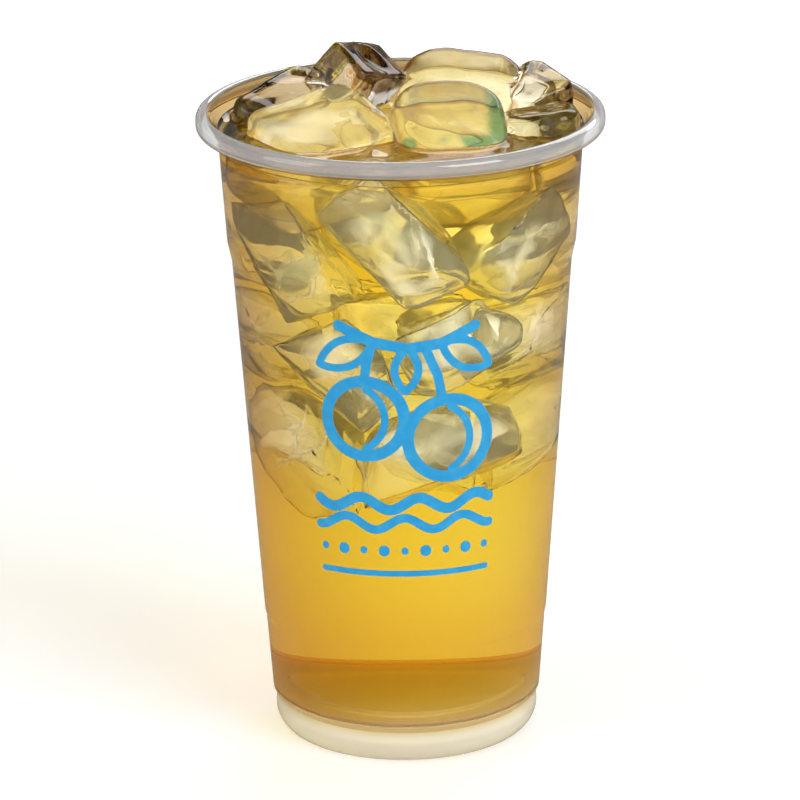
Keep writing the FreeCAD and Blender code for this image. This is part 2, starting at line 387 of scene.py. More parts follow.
def relief_effect():
    """A normal ruffled by a noise without fine detail."""
    def build(nodes, given, result):
        texture = nodes.add("ShaderNodeTexNoise")
        texture.inputs["Detail"].default_value = 0.0
        bump = nodes.add("ShaderNodeBump")
        for word, node in (("Vector", texture), ("Scale", texture), ("Strength", bump), ("Distance", bump)):
            nodes.wire(given[word], node.inputs[word])
        nodes.wire(texture.outputs["Fac"], bump.inputs["Height"])
        nodes.wire(bump.outputs[0], result["Normal"])

    return effect(
        "shallow_relief",
        [("Vector", "Vector"), ("Scale", "Float"), ("Strength", "Float"), ("Distance", "Float")],
        [("Normal", "Vector")], build)


def plastic_effect():
    """The plastic's colour: one tint face on, one edge on, and one more over a range of heights."""
    def build(nodes, given, result):
        edge = nodes.remap(given["Facing"], 0.35, 1.0)
        plain = nodes.blend(edge, given["Face Tint"], given["Edge Tint"])
        # A third tint is laid over a band of heights: painted shade under the rim's bead, tea clinging to the
        # collar, and a tint at the foot's waist.
        in_band = nodes.remap(given["Height"], given["Low"], given["High"])
        nodes.wire(nodes.tint_over(plain, in_band, given["Stain"]), result["Color"])

    return effect(
        "plastic_colour",
        [("Facing", "Float"), ("Height", "Float"), ("Low", "Float"), ("High", "Float"),
         ("Face Tint", "Color"), ("Edge Tint", "Color"), ("Stain", "Color")],
        [("Color", "Color")], build)


def ice_effect():
    """The ice's colour and frost: cloudy patches, and painted shade in dark amber where the ice is seen edge
    on.
    """
    def build(nodes, given, result):
        cloud = nodes.grain(given["Vector"], scale=45.0, low=0.47, high=0.70)
        colour = nodes.blend(cloud, given["Clear Tint"], given["Cloud Tint"])
        # Painted shade: dark amber where the ice is seen edge on.
        edge = nodes.maths("ADD", given["Facing"], nodes.product(cloud, 0.2))
        shaded_edge = nodes.product(nodes.remap(edge, 0.36, 0.60), given["Film"])
        nodes.wire(nodes.tint_over(colour, shaded_edge, given["Film Tint"]), result["Color"])
        nodes.wire(nodes.product(nodes.remap(cloud, 0.5, 1.0), given["Frost"]), result["Roughness"])

    return effect(
        "ice_skin",
        [("Vector", "Vector"), ("Facing", "Float"), ("Film", "Float"), ("Frost", "Float"),
         ("Clear Tint", "Color"), ("Cloud Tint", "Color"), ("Film Tint", "Color")],
        [("Color", "Color"), ("Roughness", "Float")], build)


def new_material(name):
    """A new material with an output and a Principled shader, not yet wired to each other."""
    material = bpy.data.materials.new(name)
    material.use_nodes = True
    material.node_tree.nodes.clear()
    nodes = Nodes(material.node_tree)
    output = nodes.add("ShaderNodeOutputMaterial")
    shader = nodes.add("ShaderNodeBsdfPrincipled")
    return material, nodes, shader, output


def clear_material(name, ior, clearness):
    """A material that light passes through, smooth to start with."""
    material, nodes, shader, output = new_material(name)
    nodes.feed(shader.inputs["Base Color"], WHITE)
    shader.inputs["Transmission Weight"].default_value = clearness
    shader.inputs["Roughness"].default_value = 0.0
    shader.inputs["IOR"].default_value = ior
    return material, nodes, shader, output


def lamps_pass(nodes, shader, output, share):
    """Lets this share of the lamps' light reach what stands inside and behind a clear piece."""
    path = nodes.add("ShaderNodeLightPath")
    clear = nodes.add("ShaderNodeBsdfTransparent")
    clear.inputs[0].default_value = (share, share, share, 1)
    choice = nodes.mix_shaders(path.outputs["Is Shadow Ray"], shader, clear)
    nodes.wire(choice.outputs[0], output.inputs["Surface"])


# ---------------------------------------------------------------- materials

def plastic_material(name, ior, tint, edge_tint, clearness, rough, band):
    """Moulded plastic; band is a range of heights over which it turns to a third tint, and that tint."""
    material, nodes, shader, output = clear_material(name, ior, clearness)
    place = nodes.place()
    low, high, tint_over = band
    skin = nodes.group(
        plastic_effect(), Facing=nodes.facing(0.35), Height=nodes.split(place)["Z"], Low=low, High=high,
        Face_Tint=tint, Edge_Tint=edge_tint, Stain=tint_over)
    nodes.wire(skin.outputs["Color"], shader.inputs["Base Color"])
    if rough:
        scuffs = nodes.grain(place, scale=260.0, low=0.3, high=0.8)
        nodes.feed(shader.inputs["Roughness"], nodes.product(scuffs, rough))
    nodes.feed(shader.inputs["Normal"], nodes.relief(place, scale=55.0, strength=0.12, distance=0.0006))
    lamps_pass(nodes, shader, output, 0.96)
    return material


# The inner wall's radius is about this start plus this slope times the height, in metres; most tints of the
# tea lie there
WALL_SLOPE, WALL_START = 0.0805, 0.03045


def tea_material(settings):
    """Tea that absorbs light on its way through, with tints for its sides, its foot and its surface."""
    material, nodes, shader, output = clear_material("amber_tea", 1.333, 1.0)
    shader.inputs["Specular Tint"].default_value = (0.15, 0.15, 0.15, 1)
    spot = nodes.split(nodes.place())
    squares = [nodes.maths("POWER", spot[axis], 2.0) for axis in ("X", "Y")]
    across = nodes.maths("SQRT", nodes.maths("ADD", *squares))
    wall = nodes.maths("ADD", nodes.product(spot["Z"], WALL_SLOPE), WALL_START)
    at_wall = nodes.remap(nodes.maths("SUBTRACT", across, wall), -0.0008, -0.0003)

    settled = nodes.product(nodes.remap(spot["Z"], 0.0, settings.settle_height, 1.0, 0.0), at_wall)
    edge_on = nodes.remap(nodes.facing(0.5), 0.10, 0.58)
    edge = nodes.product(edge_on, nodes.remap(spot["Z"], 0.010, 0.045, 0.35, 1.0), at_wall)
    # Painted shade: the tea darker towards its left side, away from the key lamp.
    side = nodes.product(nodes.remap(spot["X"], 0.006, -0.030), at_wall)
    upper = nodes.product(edge, nodes.remap(spot["Z"], 0.055, 0.085))
    # Painted shade on the lowest tea at the back of the wall.
    low_down = nodes.remap(spot["Z"], 0.0105, 0.036, 1.0, 0.0)
    rear = nodes.product(nodes.remap(spot["Y"], -0.004, 0.006), at_wall, low_down)
    at_top = nodes.remap(spot["Z"], settings.level - 0.0008, settings.level - 0.0002)
    surface = nodes.product(at_top, nodes.maths("SUBTRACT", 1.0, at_wall))

    column = nodes.blend(settled, settings.clear_tint, settings.settled_tint)
    for share, tint in (
            (surface, settings.surface_tint), (upper, settings.ice_edge_tint), (rear, settings.rear_shade_tint),
            (side, settings.shaded_side_tint), (edge, settings.edge_tint)):
        column = nodes.tint_over(column, share, tint)
    nodes.feed(shader.inputs["Base Color"], column)
    absorb = nodes.add("ShaderNodeVolumeAbsorption")
    absorb.inputs["Color"].default_value = (*settings.colour, 1)
    absorb.inputs["Density"].default_value = settings.density
    nodes.wire(absorb.outputs[0], output.inputs["Volume"])
    lamps_pass(nodes, shader, output, 0.995)
    return material


# The direction of the crowns that get painted shade
CROWN_LEAN = (0.0, 0.42, 0.91)
# The golden tone of the floating cubes: painted light, the warm light that comes up into them through the tea
TEA_LIGHT_GOLD = (1.0, 0.89, 0.52)


def painted_crown_shade(nodes, place, height):
    """Where painted shade lies on the crowns that lean back, high on the cubes."""
    slope = nodes.add("ShaderNodeVectorMath", operation="DOT_PRODUCT")
    nodes.wire(nodes.add("ShaderNodeNewGeometry").outputs["Normal"], slope.inputs[0])
    slope.inputs[1].default_value = CROWN_LEAN
    crown = nodes.remap(nodes.maths("ABSOLUTE", slope.outputs["Value"]), 0.70, 0.84)
    patches = nodes.grain(place, scale=60.0, low=0.10, high=0.50)
    return nodes.product(crown, nodes.remap(height, 0.1495, 0.1515), patches)


def cold_glints(nodes, place, spot):
    """Where cold glints lie: low on the cube and along its right side, above the tea."""
    low = nodes.remap(spot["Z"], 0.1496, 0.1482)
    right = nodes.remap(spot["X"], 0.0185, 0.0215)
    above_tea = nodes.remap(spot["Z"], 0.1466, 0.1470)
    patches = nodes.grain(place, scale=75.0, low=0.44, high=0.50)
    return nodes.product(nodes.maths("MAXIMUM", low, right), patches, above_tea)


def deep_shade(nodes, place, spot):
    """Where deep shade lies: beyond a slanted line with a ragged edge, and in specks."""
    slant = nodes.maths("ADD", spot["X"], nodes.product(spot["Z"], 0.55))
    ragged = nodes.product(nodes.grain(place, scale=150.0, low=0.0, high=1.0, detail=2.0), 0.006)
    beyond = nodes.remap(nodes.maths("ADD", slant, ragged), 0.0795, 0.0805)
    block = nodes.product(beyond, nodes.remap(spot["Z"], 0.1500, 0.1515))
    return nodes.maths("MAXIMUM", block, nodes.grain(place, scale=330.0, low=0.66, high=0.70))


def ice_material(settings, name, clearness, film=0.0, dark=0.0, cool=0.0, crown_shade=0.0, tone=WHITE):
    """Melted ice, with four shares: painted shade on its edges, painted shade on its crowns, painted deep
    shade, and painted glints.
    """
    material, nodes, shader, output = clear_material(name, settings.ior, clearness)
    place = nodes.place()
    spot = nodes.split(place)
    skin = nodes.group(
        ice_effect(), Vector=place, Facing=nodes.facing(0.5), Film=film, Frost=settings.frost,
        Clear_Tint=settings.tint, Cloud_Tint=settings.cloud_tint, Film_Tint=settings.edge_shade_tint)
    colour = nodes.shade(skin.outputs["Color"], tone)
    # Painted shade on the crowns.
    if crown_shade:
        crown = nodes.product(painted_crown_shade(nodes, place, spot["Z"]), crown_shade)
        colour = nodes.tint_over(colour, crown, settings.crown_shade_tint)
    if cool:
        glint = nodes.product(cold_glints(nodes, place, spot), cool)
        colour = nodes.tint_over(colour, glint, settings.glint_tint)
    if dark:
        shadow = nodes.product(deep_shade(nodes, place, spot), dark)
        colour = nodes.tint_over(colour, shadow, settings.shadow_tint)
    nodes.feed(shader.inputs["Base Color"], colour)
    nodes.wire(skin.outputs["Roughness"], shader.inputs["Roughness"])
    nodes.feed(shader.inputs["Normal"], nodes.relief(place, scale=170.0, strength=0.25, distance=0.0008))
    lamps_pass(nodes, shader, output, 0.995)
    return material


def print_material(settings):
    """Matt screen ink that lies thinner in places."""
    material, nodes, shader, output = new_material("screen_ink")
    place = nodes.place()
    thin = nodes.grain(place, scale=420.0, low=0.35, high=0.75, detail=3.0)
    nodes.feed(shader.inputs["Base Color"], nodes.blend(thin, settings.ink, settings.ink_thin))
    matt = nodes.grain(place, scale=900.0, low=0.2, high=0.8, detail=2.0)
    nodes.feed(shader.inputs["Roughness"], nodes.remap(matt, 0.0, 1.0, 0.3, 0.5))
    nodes.feed(shader.inputs["Normal"], nodes.relief(place, scale=1500.0, strength=0.2, distance=0.0001))
    nodes.wire(shader.outputs[0], output.inputs["Surface"])
    return material


# ---------------------------------------------------------------- settings

def length_setting(name, description, default):
    return bpy.props.FloatProperty(
        name=name, description=description, default=default, subtype="DISTANCE", unit="LENGTH")


def share_setting(name, description, default):
    return bpy.props.FloatProperty(
        name=name, description=description, default=default, min=0.0, max=1.0, subtype="FACTOR")


def power_setting(name, description, default):
    return bpy.props.FloatProperty(
        name=name, description=description, default=default, min=0.0, subtype="POWER", unit="POWER")


def colour_setting(name, description, default):
    return bpy.props.FloatVectorProperty(
        name=name, description=description, default=default, subtype="COLOR", size=3, min=0.0, max=1.0)


class CupSettings(bpy.types.PropertyGroup):
    tint: colour_setting("Plastic", "Colour of the clear wall seen face on", (0.985, 0.99, 0.99))
    edge_tint: colour_setting("Plastic edge", "Colour of the clear wall seen edge on", (0.80, 0.80, 0.81))
    collar_tint: colour_setting("Wet collar", "Tint of the collar where tea clings to it", (0.62, 0.42, 0.18))
    waist_tint: colour_setting("Waist", "Tint of the foot where it joins the wall", (0.84, 0.66, 0.36))
    ink: colour_setting("Ink", "Colour of the printed picture", (0.010, 0.36, 0.75))
    ink_thin: colour_setting("Thin ink", "Colour where the ink lies thinner", (0.03, 0.43, 0.80))
    print_height: length_setting("Print height", "Height of the middle of the print", 0.079)


class TeaSettings(bpy.types.PropertyGroup):
    level: length_setting("Level", "Height of the tea's surface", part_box("tea")[1].z)
    colour: colour_setting("Tea", "What the tea lets through", (0.955, 0.845, 0.10))
    density: bpy.props.FloatProperty(
        name="Strength", description="How strongly the tea absorbs, per metre", default=55.0, min=0.0)
    clear_tint: colour_setting("Upper tint", "Tint of the tea high in the cup", (1.0, 1.0, 1.0))
    settled_tint: colour_setting("Settled tint", "Tint of the syrup low in the cup", (0.93, 0.78, 0.84))
    edge_tint: colour_setting("Edge tint", "Tint of the tea at the sides of the cup", (0.70, 0.48, 0.30))
    surface_tint: colour_setting("Surface tint", "Tint of the tea looked at from above", (0.52, 0.34, 0.15))
    # Painted shade on the tea's left side.
    shaded_side_tint: colour_setting("Side tint", "Tint of the darker side of the tea", (0.70, 0.56, 0.38))
    ice_edge_tint: colour_setting("Upper edge tint", "Tint of the tea beside the ice", (0.58, 0.52, 0.40))
    # Painted shade on the lowest tea at the back.
    rear_shade_tint: colour_setting("Rear tint", "Tint of the lowest tea behind", (0.86, 0.76, 0.74))
    settle_height: length_setting("Settling", "Height over which the syrup thins out", 0.05)


class IceSettings(bpy.types.PropertyGroup):
    ior: bpy.props.FloatProperty(
        name="Bending", description="Index of refraction of the ice", default=1.31, min=1.0)
    frost: share_setting("Frost", "Roughness of the cloudy parts", 0.16)
    cloudiness: share_setting("Cloudiness", "How dense the veils of trapped air are", 0.95)
    # Painted light: how brightly the veils glow.
    glow: share_setting("Scatter", "Light that the trapped air gathers from all round", 0.27)
    clearness: share_setting("Clearness", "Share of light that passes through the ice's skin", 0.94)
    milkiness: share_setting("Milky clearness", "Share of light that passes through milky cubes", 0.82)
    # Painted shade on the edges seen edge on.
    edge_shade_tint: colour_setting("Tea film", "Tint of the tea left on rounded edges", (0.32, 0.15, 0.03))
    glint_tint: colour_setting("Cold glints", "Tint of the glints on the front cube", (0.04, 0.38, 0.62))
    # Painted shade on the veils, in greyer patches.
    veil_shade_tint: colour_setting("Cool veils", "Tint of the greyer veils of trapped air", (0.50, 0.56, 0.42))
    # Painted shade on the crowns.
    crown_shade_tint: colour_setting("Crown film", "Tint of the tea left on crowns", (0.30, 0.14, 0.04))
    shadow_tint: colour_setting("Deep shade", "Tint of the darkest facets", (0.07, 0.035, 0.012))
    tint: colour_setting("Ice", "Tint of the clear parts", (1.0, 1.0, 0.97))
    cloud_tint: colour_setting("Cloud", "Tint of the cloudy parts", (0.97, 0.94, 0.82))
    cubes: bpy.props.IntProperty(
        name="Sunken cubes", description="Number of cubes under the surface", default=21, min=1)
    cube_size: length_setting("Cube size", "Edge of a sunken cube", 0.0265)
    lowest: length_setting("Lowest ice", "Height down to which the ice reaches", 0.064)


class StageSettings(bpy.types.PropertyGroup):
    floor: colour_setting("Floor", "Colour of the floor", (0.93, 0.93, 0.925))
    floor_reflected: colour_setting("Mirrored floor", "The floor's colour in reflections", (0.42, 0.40, 0.35))
    floor_lift: share_setting("Floor lift", "How much whiter the floor looks than it is lit", 0.24)
    distance: length_setting("Camera distance", "From the middle of the cup", 1.3)
    elevation: bpy.props.FloatProperty(
        name="Camera elevation", description="Angle above the floor", default=math.radians(18.68),
        subtype="ANGLE", unit="ROTATION")
    key: power_setting("Key", "Power of the key lamp", 6.0)
    fill: power_setting("Fill", "Power of the fill lamp", 2.5)
    rear: power_setting("Rear", "Power of the rear lamp", 3.0)


SETTINGS = {
    "drink_cup": CupSettings,
    "drink_tea": TeaSettings,
    "drink_ice": IceSettings,
    "drink_stage": StageSettings,
}


# ---------------------------------------------------------------- the cup

def cup_section():
    """The cup's whole section, from the axis inside, over the rim and down, and back to the axis below."""
    inside = rounded(INSIDE, INSIDE_BENDS)
    flare = arc(FLARE_END, ROLL_SHOULDER, radius=1.85, side=1, steps=12)
    outer_curl = [ROLL_SIDE] + arc(ROLL_SIDE, ROLL_LIP, radius=1.2, side=1, steps=6) + [LIP_END]
    inner_curl = arc(LIP_END, ROLL_INNER_SIDE, radius=0.6, side=-1, steps=5) + [ROLL_INNER_TOP]
    under_roll = arc(ROLL_INNER_TOP, ROLL_ROOT, radius=1.25, side=-1, steps=9)
    outside = rounded(OUTSIDE, OUTSIDE_BENDS)
    upper_foot = arc(WAIST, FOOT_BULGE, radius=5.98, side=1, steps=6)
    lower_foot = arc(FOOT_BULGE, FOOT_RING, radius=5.54, side=1, steps=10)
    rim = [FLARE_END] + flare + outer_curl + inner_curl + under_roll
    line = inside + rim + outside + upper_foot + lower_foot + UNDERSIDE
    clean = [line[0]]
    for point in line[1:]:
        if math.dist(point, clean[-1]) > 1e-4:
            clean.append(point)
    return divided(clean, longest=6.0)


# Where the plastics lie, in metres: the rim above a height and outside a radius, the foot and the floor panel
# below the panel's top, and the foot outside a radius
RIM_HEIGHT, RIM_RADIUS = 0.1474, 0.0449
FLOOR_TOP, FOOT_RADIUS = 0.0103, 0.0290
PLAIN_BAND = (0.02, 0.03, WHITE)


def cup_materials(settings):
    """The plastics of the wall, the rim, the foot and the floor panel, in this order."""
    return [
        plastic_material(
            "clear_wall", ior=1.10, tint=settings.tint, edge_tint=settings.edge_tint,
            clearness=1.0, rough=0.0, band=(0.1462, 0.1472, settings.collar_tint)),
        plastic_material(
            # The rim greys below the top of its bead: painted shade on the lower part of the bead.
            "milky_rim", ior=1.55, tint=(0.80, 0.80, 0.80), edge_tint=(0.26, 0.26, 0.27),
            clearness=0.72, rough=0.05, band=(0.1486, 0.1478, (0.62, 0.60, 0.58))),
        plastic_material(
            "milky_foot", ior=1.3, tint=(1.0, 0.95, 0.79), edge_tint=(0.99, 0.88, 0.62),
            clearness=0.5, rough=0.2, band=(0.0055, 0.0088, settings.waist_tint)),
        plastic_material(
            "milky_panel", ior=1.1, tint=(1.0, 0.90, 0.76), edge_tint=(0.97, 0.84, 0.66),
            clearness=0.45, rough=0.2, band=PLAIN_BAND),
    ]


def build_cup(settings):
    """Turns the cup's wall and gives each stretch of it its own plastic."""
    mesh = scaled_mesh(turn_profile(cup_section(), WALL_SEGMENTS), "cup_wall", sharp=32)
    make_object("cup_wall", mesh, cup_materials(settings), "clear_plastic", "cup")
    for face in mesh.polygons:
        radius = face.center.xy.length
        if face.center.z > RIM_HEIGHT and radius > RIM_RADIUS:
            face.material_index = 1
        elif face.center.z < FLOOR_TOP:
            face.material_index = 2 if radius > FOOT_RADIUS else 3


# ---------------------------------------------------------------- the print

# The step of the grid that the strokes are cut from, its half width and height, and the ink's thickness
PRINT_GRID = 0.25
PRINT_REACH = (24.0, 34.0)
INK_THICKNESS = 0.04


def curve_points(centre, radius, start, end, steps=24, squeeze=1.0, tilt=0.0):
    """Points on an arc or oval, with its angles in degrees."""
    points = []
    for k in range(steps + 1):
        a = math.radians(start + (end - start) * k / steps)
        x, y = radius * math.cos(a), radius * squeeze * math.sin(a)
        c, s = math.cos(math.radians(tilt)), math.sin(math.radians(tilt))
        points.append((centre[0] + c * x - s * y, centre[1] + s * x + c * y))
    return points


def leaf_points(base, tip, fullness, steps=16):
    """The outline of a leaf, from its base round by its tip and back."""
    a, b = Vector(base), Vector(tip)
    along = b - a
    out = Vector((-along.y, along.x)) * fullness
    up = [k / steps for k in range(steps + 1)]
    down = [1 - k / steps for k in range(steps + 1)]
    one = [a + along * t + out * math.sin(math.pi * t) ** 0.8 for t in up]
    two = [a + along * t - out * math.sin(math.pi * t) ** 0.8 for t in down]
    return [tuple(p) for p in one + two]


def print_strokes():
    """A sprig with two plums over waves, a row of beads and a bar; each stroke is points and a width."""
    strokes = [
        ([(-15.0, 31.0), (-7.0, 27.5), (1.0, 26.0), (9.0, 27.0), (17.0, 30.5)], 2.6),
        ([(-7.0, 27.5), (-8.5, 22.0), (-9.0, 18.0)], 2.2),
        ([(5.0, 26.2), (8.0, 19.0), (9.0, 13.5)], 2.2),
        (curve_points((-9.0, 8.5), 9.2, 90, 450, 40), 2.8),
        (curve_points((-12.5, 8.5), 8.2, 62, -62, 16), 1.8),
        (curve_points((10.5, 3.5), 9.6, 90, 450, 40), 2.8),
        (curve_points((7.0, 3.5), 8.6, 62, -62, 16), 1.8),
        (leaf_points((1.0, 26.0), (0.5, 15.5), 0.26), 1.9),
        (leaf_points((9.0, 27.0), (20.5, 20.5), 0.24), 1.9),
        (leaf_points((-7.0, 27.5), (-20.0, 21.0), 0.22), 1.9),
    ]
    for row, (height, width) in enumerate(((-12.5, 2.6), (-17.5, 2.2))):
        wave = [
            (x, height + 1.5 * math.sin((x + row * 3.4) * 2 * math.pi / 13.6))
            for x in np.linspace(-20.5, 20.5, 60)
        ]
        strokes.append((wave, width))
    for k in range(9):
        strokes.append(([(-19.2 + 4.8 * k, -24.4), (-19.2 + 4.8 * k, -24.2)], 2.6 if k % 2 else 1.7))
    strokes.append(([(-19.5, -30.0), (19.5, -30.0)], 1.5))
    return strokes


def stroke_depth(x, y):
    """How far each grid point lies outside the nearest stroke; negative inside."""
    depth = np.full(x.shape, 9.0)
    for points, width in print_strokes():
        for (x0, y0), (x1, y1) in zip(points, points[1:]):
            length = max((x1 - x0) ** 2 + (y1 - y0) ** 2, 1e-12)
            t = np.clip(((x - x0) * (x1 - x0) + (y - y0) * (y1 - y0)) / length, 0, 1)
            gap = np.hypot(x - x0 - t * (x1 - x0), y - y0 - t * (y1 - y0)) - width / 2
            depth = np.minimum(depth, gap)
    return depth


def outer_radius(height):
    """The radius of the cup's outside at a height, both in millimetres."""
    radii, heights = zip(*reversed(OUTSIDE[1:8]))
    return float(np.interp(height, heights, radii))


def print_faces():
    """The inked area as polygons of flat points, cut exactly at its outline."""
    xs = np.arange(-PRINT_REACH[0], PRINT_REACH[0] + PRINT_GRID, PRINT_GRID)
    ys = np.arange(-PRINT_REACH[1], PRINT_REACH[1] + PRINT_GRID, PRINT_GRID)
    depth = stroke_depth(*np.meshgrid(xs, ys, indexing="ij"))
    polygons = []
    for i in range(len(xs) - 1):
        for j in range(len(ys) - 1):
            ring = [(i, j), (i + 1, j), (i + 1, j + 1), (i, j + 1)]
            values = [depth[c] for c in ring]
            if min(values) >= 0:
                continue
            polygon = []
            for (a, da), (b, db) in zip(zip(ring, values), zip(ring[1:] + ring[:1], values[1:] + values[:1])):
                if da < 0:
                    polygon.append((xs[a[0]], ys[a[1]]))
                if (da < 0) != (db < 0):
                    # kept off the grid's points, so that no sliver is left
                    t = min(max(da / (da - db), 0.08), 0.92)
                    x = xs[a[0]] + t * (xs[b[0]] - xs[a[0]])
                    y = ys[a[1]] + t * (ys[b[1]] - ys[a[1]])
                    polygon.append((x, y))
            if len(polygon) > 2:
                polygons.append(polygon)
    return polygons


def build_print(settings):
    """Lays the picture on the front of the wall as a thin film of ink."""
    bm = bmesh.new()
    found = {}
    middle = settings.print_height / MM

    def on_wall(point):
        key = (round(point[0], 4), round(point[1], 4))
        if key not in found:
            height = middle + point[1]
            radius = outer_radius(height) + INK_THICKNESS / 2
            angle = -math.pi / 2 + point[0] / radius
            found[key] = bm.verts.new((radius * math.cos(angle), radius * math.sin(angle), height))
        return found[key]

    for polygon in print_faces():
        corners = list(dict.fromkeys(on_wall(p) for p in polygon))
        if len(corners) > 2 and bm.faces.get(corners) is None:
            bm.faces.new(corners)
    mesh = scaled_mesh(bm, "front_print")
    mesh = with_modifiers(mesh, ("SOLIDIFY", {"thickness": INK_THICKNESS * MM, "offset": 0.0}))
    mesh.set_sharp_from_angle(angle=math.radians(40))
    make_object("front_print", mesh, [print_material(settings)], None)


# ---------------------------------------------------------------- the ice

FLOATING = ["ice_proud", "ice_front", "ice_back", "ice_left", "ice_rear", "ice_side", "ice_right"]
# How melting shapes the cubes: the step of the mesh, the waves and dimples of the faces and the ridges along
# the grain, in metres, and the rounds of smoothing
FLOATING_MELT = {"voxel": 0.00075, "wave": 0.0004, "dimple": 0.00012, "smooth": 5}
SUNKEN_MELT = {"voxel": 0.0013, "wave": 0.0006, "dimple": 0.00015, "smooth": 10, "ridge": 0.0012}
# A sunken cube's length, width and height as shares of its size, the highest that its middle may lie, and the
# turn from one cube to the next before they are spread
SUNKEN_PROPORTIONS = Vector((1.5, 1.0, 0.74))
SUNKEN_TOP = 127.0
GOLDEN_ANGLE = 2.39996
# The spreading: its rounds, the share of an overlap that a round takes up, and the room that a cube keeps from
# its neighbours and from the wall, as shares of its size
SPREAD_ROUNDS, SPREAD_SHARE = 250, 0.35
CUBE_ROOM, WALL_ROOM = 1.02, 0.46


def melt(mesh, seed, voxel, wave, dimple, smooth, grain=None, ridge=0.0):
    """Rounds a solid's edges as melting does and gives its faces waves, dimples and ridges; in metres."""
    melted = with_modifiers(
        mesh,
        ("REMESH", {"mode": "VOXEL", "voxel_size": voxel, "use_smooth_shade": True}),
        ("SMOOTH", {"factor": 0.5, "iterations": smooth}),
    )
    points = [Vector(p) for p in coordinates(melted)]
    shift = Vector((seed * 3.1, seed * 1.7, seed * 2.3))
    amounts = [
        wave * noise.noise(p * 90 + shift) + dimple * noise.noise(p * 260 + shift) - (wave + dimple) * 0.5
        for p in points
    ]
    if ridge:
        across = Matrix.Diagonal((25, 150, 150)) @ grain.to_matrix().inverted()
        amounts = [a + ridge * (noise.noise(across @ p + shift) - 0.6) for a, p in zip(amounts, points)]
    push(melted, amounts)
    melted.shade_smooth()
    return melted


def cut_cube(size, centre, rotation, planes):
    """A turned cube cut by planes, each a point and an outward normal, as a closed bmesh in millimetres."""
    bm = bmesh.new()
    bmesh.ops.create_cube(bm, size=1.0)
    turn = Matrix.Translation(centre) @ rotation.to_matrix().to_4x4() @ Matrix.Diagonal((*size, 1))
    bmesh.ops.transform(bm, matrix=turn, verts=bm.verts)
    for point, normal in planes:
        geometry = bm.verts[:] + bm.edges[:] + bm.faces[:]
        cut = bmesh.ops.bisect_plane(
            bm, geom=geometry, plane_co=point, plane_no=normal, clear_outer=True, dist=1e-5)
        if any(isinstance(part, bmesh.types.BMEdge) for part in cut["geom_cut"]):
            bmesh.ops.holes_fill(bm, edges=bm.edges[:], sides=0)
    return bm


def spread_apart(points, fixed, size, low, high):
    """Pushes the points apart, and away from the fixed ones, until they have room inside the wall."""
    room = size * CUBE_ROOM
    for _ in range(SPREAD_ROUNDS):
        moves = np.zeros_like(points)
        for i, p in enumerate(points):
            for q in list(np.delete(points, i, 0)) + list(fixed):
                away = p - q
                gap = np.linalg.norm(away)
                if gap < room:
                    moves[i] += away / gap * (room - gap) * SPREAD_SHARE
        points += moves
        for p in points:
            p[2] = min(max(p[2], low), high)
            reach = math.hypot(p[0], p[1])
            most = inner_radius(p[2]) - size * WALL_ROOM
            if reach > most:
                p[:2] *= most / reach


def sunken_places(settings):
    """The sunken cubes' centres, the centres of the floating cubes above, and the sunken cubes' turns."""
    rng = random.Random(11)
    size = settings.cube_size / MM
    low, high = settings.lowest / MM + size * 0.5, SUNKEN_TOP
    points = []
    for k in range(settings.cubes):
        z = low + (high - low) * (k + 0.5) / settings.cubes
        angle = k * GOLDEN_ANGLE
        reach = (inner_radius(z) - size * 0.5) * (0.95 if k % 5 else 0.15)
        points.append([reach * math.cos(angle), reach * math.sin(angle), z])
    points = np.array(points)
    fixed = np.array([sum(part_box(n), Vector()) / 2 / MM for n in FLOATING if n != "ice_proud"])
    spread_apart(points, fixed, size, low, high)
    turns = []
    for p in points:
        lean = 0.62 if p[0] < 4 else -0.3
        turns.append(Euler((rng.uniform(-0.5, 0.5), lean + rng.uniform(-0.3, 0.3), rng.uniform(-0.6, 0.6))))
    return [Vector(p) for p in points], [Vector(f) for f in fixed], turns


def wall_planes(centre, size, gap):
    """Planes that keep a cube inside the cup's wall."""
    planes = []
    radius_low, radius_high = inner_radius(centre[2] - size / 2), inner_radius(centre[2] + size / 2)
    lean = math.atan2(radius_high - radius_low, size)
    middle = (radius_low + radius_high) / 2 - gap
    start = math.atan2(centre[1], centre[0])
    for step in range(-4, 5):
        angle = start + step * 0.26
        out = Vector((math.cos(angle), math.sin(angle), 0))
        normal = (out * math.cos(lean) - Vector((0, 0, 1)) * math.sin(lean)).normalized()
        planes.append((out * middle + Vector((0, 0, centre[2])), normal))
    return planes


def neighbour_planes(centre, others, fixed, size):
    """Planes that keep a cube clear of its sunken neighbours and of the floating cubes."""
    near = size * 1.9
    planes = []
    for other in others:
        step = other - centre
        if step.length < near:
            planes.append(((centre + other) / 2 - step.normalized() * 0.5, step.normalized()))
    for cube in fixed:
        step = cube - centre
        if step.length < near:
            planes.append((centre + step.normalized() * (step.length - size * 0.42), step.normalized()))
    return planes


def sunken_meshes(settings):
    """A melted shard of ice for each sunken place that has room for one."""
    points, fixed, turns = sunken_places(settings)
    size = settings.cube_size / MM
    meshes = []
    for i, (centre, turn) in enumerate(zip(points, turns)):
        planes = neighbour_planes(centre, points[:i] + points[i + 1:], fixed, size)
        planes += wall_planes(centre, size, gap=0.8)
        bm = cut_cube(SUNKEN_PROPORTIONS * size, centre, turn, planes)
        if bm.faces:
            meshes.append(melt(scaled_mesh(bm, "cube"), i + 1, grain=turn, **SUNKEN_MELT))
        else:
            bm.free()
    return meshes


def joined(meshes, name, layer=None):
    """All meshes as one, with a layer of values at their points if it is named."""
    bm = bmesh.new()
    if layer:
        bm.verts.layers.float.new(layer)
    for mesh in meshes:
        bm.from_mesh(mesh)
    result = finished(bm, name)
    result.shade_smooth()
    return result


